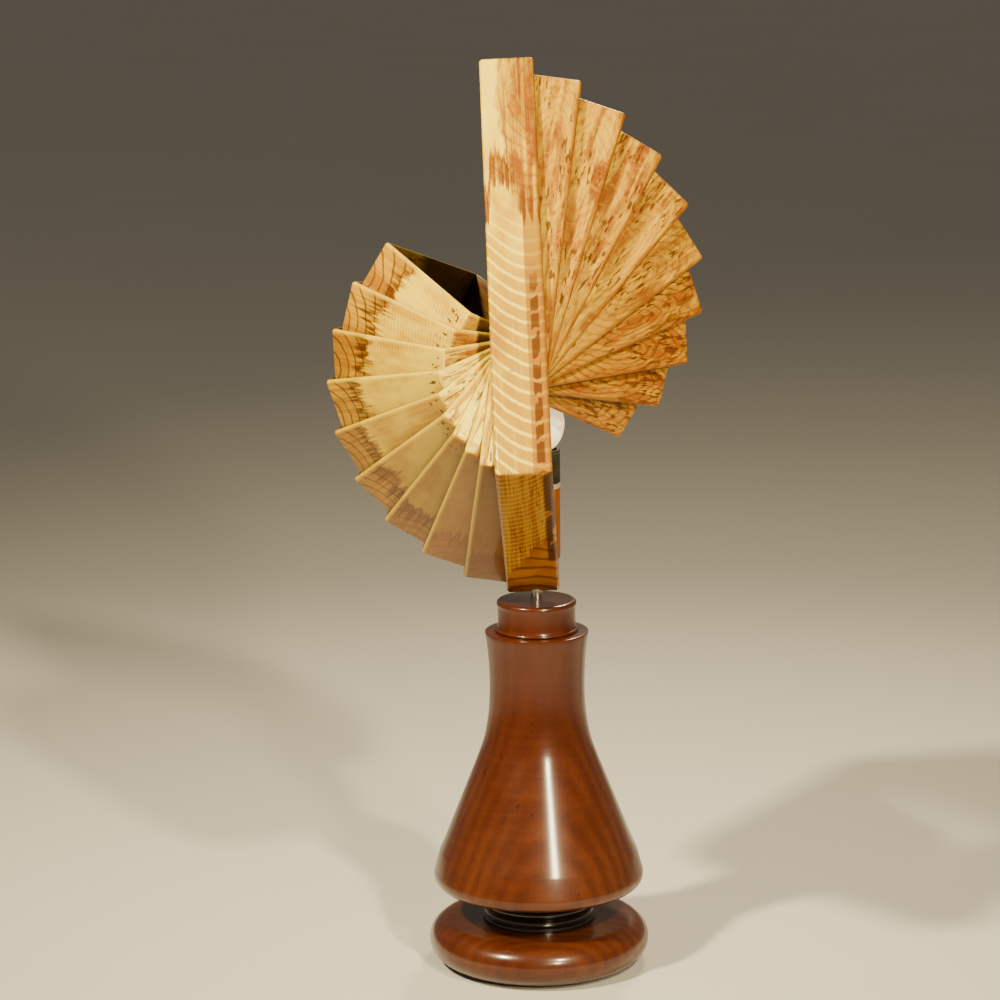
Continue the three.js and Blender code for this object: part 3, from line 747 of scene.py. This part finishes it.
def corner_stations(corners):
    """Directions fanned round each corner, each with the corner's bisector and its reach."""
    centre = sum(corners, Vector((0, 0))) / 4
    stations = []
    for j, corner in enumerate(corners):
        before, after = corners[j - 1], corners[(j + 1) % 4]
        into, out = (corner - before).normalized(), (after - corner).normalized()
        n0, n1 = Vector((-into.y, into.x)), Vector((-out.y, out.x))
        if n0.dot(corner - centre) < 0:
            n0, n1 = -n0, -n1
        mid = (n0 + n1).normalized()
        reach = 1 / mid.dot(n0)
        turn = n0.angle(n1)
        for i in range(CORNER_STEPS + 1):
            t = i / CORNER_STEPS
            fanned = n0 * math.sin(turn * (1 - t)) + n1 * math.sin(turn * t)
            stations.append((j, i, corner, mid, reach, fanned / math.sin(turn)))
    return stations


def inward(station, corner_r, depth):
    """The point at a station that lies so deep below the frame's outer face."""
    _, _, corner, mid, reach, direction = station
    radius = corner_r - depth
    if radius > CORNER_LEAST:
        return corner - mid * (reach * corner_r) + direction * radius
    return corner - mid * (reach * (depth + CORNER_LEAST)) + direction * CORNER_LEAST


def frame_outlines(corners, section, corner_r):
    """The section's points at each place round the kite, and the board that each place is on."""
    stations = corner_stations(corners)
    outlines, owner = [], []
    for index, station in enumerate(stations):
        j, i = station[:2]
        here = [inward(station, corner_r, w) for w, _ in section]
        outlines.append(here)
        owner.append(j if i >= CORNER_STEPS / 2 else (j - 1) % 4)
        if i < CORNER_STEPS:
            continue
        following = stations[(index + 1) % len(stations)]
        there = [inward(following, corner_r, w) for w, _ in section]
        for n in range(1, BOARD_SPANS):
            outlines.append([a.lerp(b, n / BOARD_SPANS) for a, b in zip(here, there)])
            owner.append(j)
    return outlines, owner


def frame_verts(k, section, outlines):
    """The outlines turned to the frame's angle, with a faint sway in the boards' faces."""
    theta = frame_angle(k)
    along = Vector((math.sin(theta), 0, math.cos(theta)))
    face = Vector((math.cos(theta), 0, -math.sin(theta)))
    low = BOARD_SHIFT - BOARD_W / 2
    rng = random.Random(SWAY_SEED + k)
    waves = [(rng.uniform(0, TAU), rng.uniform(0.02, 0.05)) for _ in range(SWAY_WAVES)]
    verts = []
    for outline in outlines:
        for (_, v), point in zip(section, outline):
            n = low + v
            if 0.5 < v < BOARD_W - 0.5:
                n += SWAY * sum(math.sin(f * (point.x * 1.3 + point.y) + a) for a, f in waves)
            verts.append(Vector(PIVOT) + along * point.x + Vector((0, point.y, 0)) + face * n)
    return verts


def write_board_attributes(mesh, k, corners, section, outlines, owner):
    """Writes each face corner's place on its board and its way to the crease, and the board."""
    width = len(section)
    tips = [corners[0], corners[2], corners[2], corners[0]]
    far_ends = [corners[1], corners[1], corners[3], corners[3]]
    places = [0.0] * (3 * len(mesh.loops))
    gaps = [0.0] * len(mesh.loops)
    boards = [0.0] * len(mesh.polygons)
    for polygon in mesh.polygons:
        j = owner[polygon.index // width]
        tip, end = tips[j], far_ends[j]
        way = (end - tip).normalized()
        boards[polygon.index] = k + 0.21 * j
        polygon.material_index = 0 if j in (0, 3) else 1
        for loop in polygon.loop_indices:
            outline, i = divmod(mesh.loops[loop].vertex_index, width)
            point = outlines[outline][i]
            w, v = section[i]
            places[3 * loop:3 * loop + 3] = [(point - tip).dot(way) * MM, v * MM, w * MM]
            gaps[loop] = (end - point).dot(way) * MM
    mesh.attributes.new("grain", "FLOAT_VECTOR", "CORNER").data.foreach_set("vector", places)
    mesh.attributes.new("to_crease", "FLOAT", "CORNER").data.foreach_set("value", gaps)
    mesh.attributes.new("board", "FLOAT", "FACE").data.foreach_set("value", boards)


def make_frame(k, long_material, short_material):
    """One nested frame: four boards with rounded outer edges, mitred at the kite's corners."""
    corners = kite_corners(k)
    thickness = WALL[k - 1]
    section = board_section(thickness)
    outlines, owner = frame_outlines(corners, section, thickness - EDGE_FLAT + CORNER_MORE)
    count, width = len(outlines), len(section)
    faces = []
    for r in range(count):
        for i in range(width):
            a, b = r * width + i, r * width + (i + 1) % width
            after = ((r + 1) % count) * width
            faces.append((a, b, after + (i + 1) % width, after + i))
    obj = finish_mesh("shade_frame_%02d" % k, frame_verts(k, section, outlines), faces, 40)
    write_board_attributes(obj.data, k, corners, section, outlines, owner)
    node = "frame_%02d" % k
    obj.data.materials.append(long_material)
    obj.data.materials.append(short_material)
    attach(obj, "lamp_stand" if k == 1 else "blade_%02d" % k)
    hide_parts(node)


def make_shade():
    """The ten frames, the outermost in its own two materials."""
    outer_long, outer_short = front_long_arm_wood(), front_short_arm_wood()
    long, short = long_arm_wood(), short_arm_wood()
    make_frame(1, outer_long, outer_short)
    for k in range(2, FRAME_COUNT + 1):
        make_frame(k, long, short)


# ---------------------------------------------------------------- the base and the column
def make_foot(wood):
    """The felt pad and the bullnosed foot disc."""
    felt_pad = [(0, 0), (FELT_R - 0.6, 0), (FELT_R, 0.5), (FELT_R, FELT_Z1), (0, FELT_Z1)]
    dress(turned("felt_under_foot", felt_pad), felt(), "lamp_stand", "felt", "felt_pad")
    foot = [(0, FOOT_Z0), (FOOT_FLAT_R, FOOT_Z0)]
    foot += arc(FOOT_ROUND_R, FOOT_ROUND_Z, FOOT_ROUND, -90, 90, 28)
    foot += [(40, FOOT_Z1), (0, FOOT_Z1)]
    dress(turned("foot", foot, 160), wood, "lamp_stand", "mahogany", "foot_disc")


def make_neck():
    """The dark spool: two round grooves with a bead between them."""
    low, high = NECK_GROOVES_Z
    spool = [(0, NECK_Z0), (NECK_END_R - 0.2, NECK_Z0), (NECK_END_R, NECK_Z0 + 0.3),
             (NECK_END_R, 40.8)]
    spool += arc(NECK_GROOVE_R, low, NECK_GROOVE, 250, 110, 9)
    spool += arc(NECK_BEAD_R, NECK_BEAD_Z, NECK_BEAD, -75, 75, 10)
    spool += arc(NECK_GROOVE_R, high, NECK_GROOVE, 250, 110, 9)
    spool += [(NECK_END_R, 66.2), (NECK_END_R, NECK_Z1), (0, NECK_Z1)]
    dress(turned("neck", spool), dark_wood(), "lamp_stand", "dark_wood", "neck_spool")


def make_cone(wood):
    """The flared body, from its rounded rim up its hollow side to a sharp shoulder."""
    cone = [(0, CONE_Z0), (70, CONE_Z0)] + arc(RIM_R, RIM_Z, RIM_ROUND, -90, 22, 14)
    cone += smooth_curve(CONE_SIDE, 4) + CONE_SHOULDER + [(0, CONE_Z1)]
    dress(turned("cone", cone, 160), wood, "lamp_stand", "mahogany", "cone_body")


def make_collar(wood):
    """The drum on the cone: a bead, a hollow wall, a rounded lip and a dished top."""
    drum = [(0, COLLAR_Z0), (34.9, COLLAR_Z0)]
    drum += arc(COLLAR_BEAD_R, COLLAR_Z0 + COLLAR_BEAD[1], COLLAR_BEAD, -80, 90, 10)
    drum += smooth_curve(COLLAR_WALL, 4)
    drum += arc(COLLAR_LIP_R, COLLAR_LIP_Z, COLLAR_LIP, -30, 90, 10) + COLLAR_DISH
    dress(turned("collar_drum", drum), wood, "lamp_stand", "mahogany", "collar")


def make_cord_bush():
    """The flanged inlet bush at the back of the foot."""
    bush = turned("cord_bush", BUSH_PROFILE, 48)
    turn = Matrix.Rotation(-math.pi / 2, 4, "X")
    bush.data.transform(Matrix.Translation(Vector(BUSH_PLACE) * MM) @ turn)
    plastic = moulded("black_moulding", (0.012, 0.012, 0.012), (0.028, 0.027, 0.026), 0.45)
    dress(bush, plastic, "lamp_stand", "black_plastic", "cord_inlet_bush")


def make_pipe():
    """The lamp pipe, ridged where it shows below the tube."""
    z0, z1 = PIPE_THREAD_Z
    pipe = [(PIPE_BORE_R, PIPE_Z0), (PIPE_R - PIPE_EASE, PIPE_Z0), (PIPE_R, PIPE_Z0 + PIPE_EASE),
            (PIPE_R, z0 - PIPE_EASE)]
    pipe += threaded(PIPE_R, z0, z1, PIPE_THREAD_PITCH, PIPE_THREAD_DEPTH)
    pipe += [(PIPE_R, z1 + 0.5), (PIPE_R, PIPE_Z1 - PIPE_EASE), (PIPE_R - PIPE_EASE, PIPE_Z1),
             (PIPE_BORE_R, PIPE_Z1)]
    bright = metal("bright_steel", (0.82, 0.80, 0.76), 0.2, (60, 60, 900))
    dress(turned("pipe", pipe, 64), bright, "lamp_stand", "steel", "lamp_pipe")


def make_fittings():
    """The nuts and washers, and the seat block and dowels that the frames hang on."""
    steel = metal("zinc_steel", (0.62, 0.61, 0.58), 0.32, (300, 300, 300))
    for node in ("foot_nut", "foot_washer", "fan_nut", "fan_washer", "riser_nut", "riser_washer"):
        dress_node(node, steel)
    seat = plain_wood("seat_wood", (0.62, 0.36, 0.12), (0.33, 0.15, 0.04), (40, 300, 300))
    dress_node("seat_block", seat)
    dowel = plain_wood("dowel_wood", (0.58, 0.37, 0.16), (0.35, 0.18, 0.06), (600, 30, 600))
    dress_node("pivot_dowel_front", dowel)
    dress_node("pivot_dowel_back", dowel)


def make_tube():
    """The wooden tube below the lampholder."""
    eased = TUBE_R - TUBE_EASE
    sizes = (TUBE_EASE, TUBE_EASE)
    tube = [(TUBE_BORE_R, TUBE_Z0), (eased, TUBE_Z0)]
    tube += arc(eased, TUBE_Z0 + TUBE_EASE, sizes, -80, 0, 4)
    tube += arc(eased, TUBE_Z1 - TUBE_EASE, sizes, 0, 80, 4)
    tube += [(TUBE_R - 1, TUBE_Z1), (TUBE_BORE_R, TUBE_Z1)]
    dress(turned("riser", tube, 96), riser_wood(), "lamp_stand", "riser_wood", "riser_tube")


def make_holder():
    """The lampholder: its pinkish ring, the ribbed skirt and the parts inside."""
    ring = [(RING_BORE_R, RING_Z0)] + arc(20.5, RING_Z0 + 1, (1.0, 1.0), -90, 0, 5)
    ring += arc(20.4, RING_Z1 - 1.1, (1.1, 1.1), 0, 90, 6) + [(RING_BORE_R, RING_Z1)]
    pink = moulded("ring_moulding", (0.36, 0.26, 0.215), (0.25, 0.17, 0.135), 0.4)
    dress(turned("shade_ring", ring, 96), pink, "lamp_stand", "ring_plastic", "holder_ring")
    skirt = [(SKIRT_BORE_R, SKIRT_Z0), (SKIRT_R - 0.4, SKIRT_Z0), (SKIRT_R, SKIRT_Z0 + 0.4)]
    for i in range(RIB_COUNT):
        skirt += [(SKIRT_R + r, RIB_Z0 + i * RIB_PITCH + z) for r, z in RIB_PROFILE]
    skirt += [(SKIRT_R - 0.4, SKIRT_Z1 - 1.6), (SKIRT_R - 0.5, SKIRT_Z1 - 0.5),
              (SKIRT_R - 1, SKIRT_Z1), (SKIRT_BORE_R + 0.3, SKIRT_Z1),
              (SKIRT_BORE_R, SKIRT_Z1 - 0.3)]
    dark = moulded("skirt_moulding", (0.016, 0.013, 0.008), (0.036, 0.030, 0.018), 0.45)
    dress(turned("skirt", skirt, 96, 25), dark, "lamp_stand", "skirt_plastic", "holder_skirt")
    dress_node("holder_cap", bpy.data.materials["black_moulding"])
    porcelain = moulded("porcelain", (0.78, 0.76, 0.70), (0.66, 0.63, 0.57), 0.2, 0.5)
    dress_node("holder_insert", porcelain)
    brass = metal("brass", (0.78, 0.58, 0.28), 0.28, (300, 300, 300))
    dress_node("screw_shell", brass)
    dress_node("centre_contact", brass)


def make_bulb():
    """The bulb: its contact, the screw cap, the white body and the dome."""
    dress_node("bulb_contact", metal("solder", (0.55, 0.55, 0.54), 0.4, (200, 200, 200)))
    cap = [(0, CAP_Z0), (8, CAP_Z0), (11.4, CAP_Z0 + 2.1)]
    for i in range(CAP_TURNS):
        z = CAP_THREAD_Z0 + CAP_PITCH * i
        cap += [(CAP_ROOT_R + out, z + up) for out, up in CAP_THREAD]
    cap += [(CAP_ROOT_R, CAP_Z1), (0, CAP_Z1)]
    bare = metal("cap_metal", (0.78, 0.78, 0.77), 0.25, (200, 200, 200))
    dress(turned("screw_cap", cap, 64, 60), bare, "bulb", "cap_metal", "bulb_cap")
    body = [(0, BODY_Z0), (14.6, BODY_Z0), (15.2, BODY_Z0 + 0.2)]
    body += arc(0, BODY_Z1, BODY_ROUND, -51.5, 0, 20)[1:] + [(0, BODY_Z1)]
    # The unlit bulb's body and dome get a painted glow.
    white = opal("bulb_white", (0.96, 0.90, 0.80), (0.92, 0.85, 0.73), 0.9)
    dress(turned("bulb_body", body, 96), white, "bulb", "bulb_white", "bulb_housing")
    dome = [(0, DOME_Z0), (DOME_ROUND[0] - 0.2, DOME_Z0)]
    dome += arc(0, DOME_Z0 + 0.2, DOME_ROUND, 0, 90, 20)[:-1] + [(0, DOME_Z1)]
    diffuser = opal("bulb_diffuser", (0.97, 0.93, 0.84), (0.94, 0.88, 0.78), 1.2)
    dress(turned("bulb_dome", dome, 96), diffuser, "bulb", "bulb_diffuser", "bulb_globe")


def make_stage():
    """A plain pale floor, a dim warm world and the lamps."""
    mesh = bpy.data.meshes.new("floor")
    half = FLOOR_HALF
    mesh.from_pydata([(-half, -half, 0), (half, -half, 0), (half, half, 0), (-half, half, 0)], [],
                     [(0, 1, 2, 3)])
    floor = bpy.data.objects.new("floor", mesh)
    bpy.context.collection.objects.link(floor)
    m = Nodes("floor")
    cloud = m.noise(m.times(m.place(), (1.5, 1.5, 1.5)), 3, 0.5)
    m.shader(Base_Color=m.mix(cloud, (0.56, 0.54, 0.51), (0.60, 0.58, 0.55)), Roughness=0.75)
    mesh.materials.append(m.mat)
    world = bpy.data.worlds.new("studio")
    world.use_nodes = True
    back = world.node_tree.nodes["Background"]
    back.inputs["Color"].default_value = WORLD_COLOR
    back.inputs["Strength"].default_value = WORLD_STRENGTH
    bpy.context.scene.world = world
    for lamp in LAMPS:
        make_light(*lamp)


make_camera()
make_stage()
mahogany_wood = mahogany()
make_foot(mahogany_wood)
make_neck()
make_cone(mahogany_wood)
make_collar(mahogany_wood)
make_cord_bush()
make_pipe()
make_fittings()
make_tube()
make_holder()
make_bulb()
make_shade()
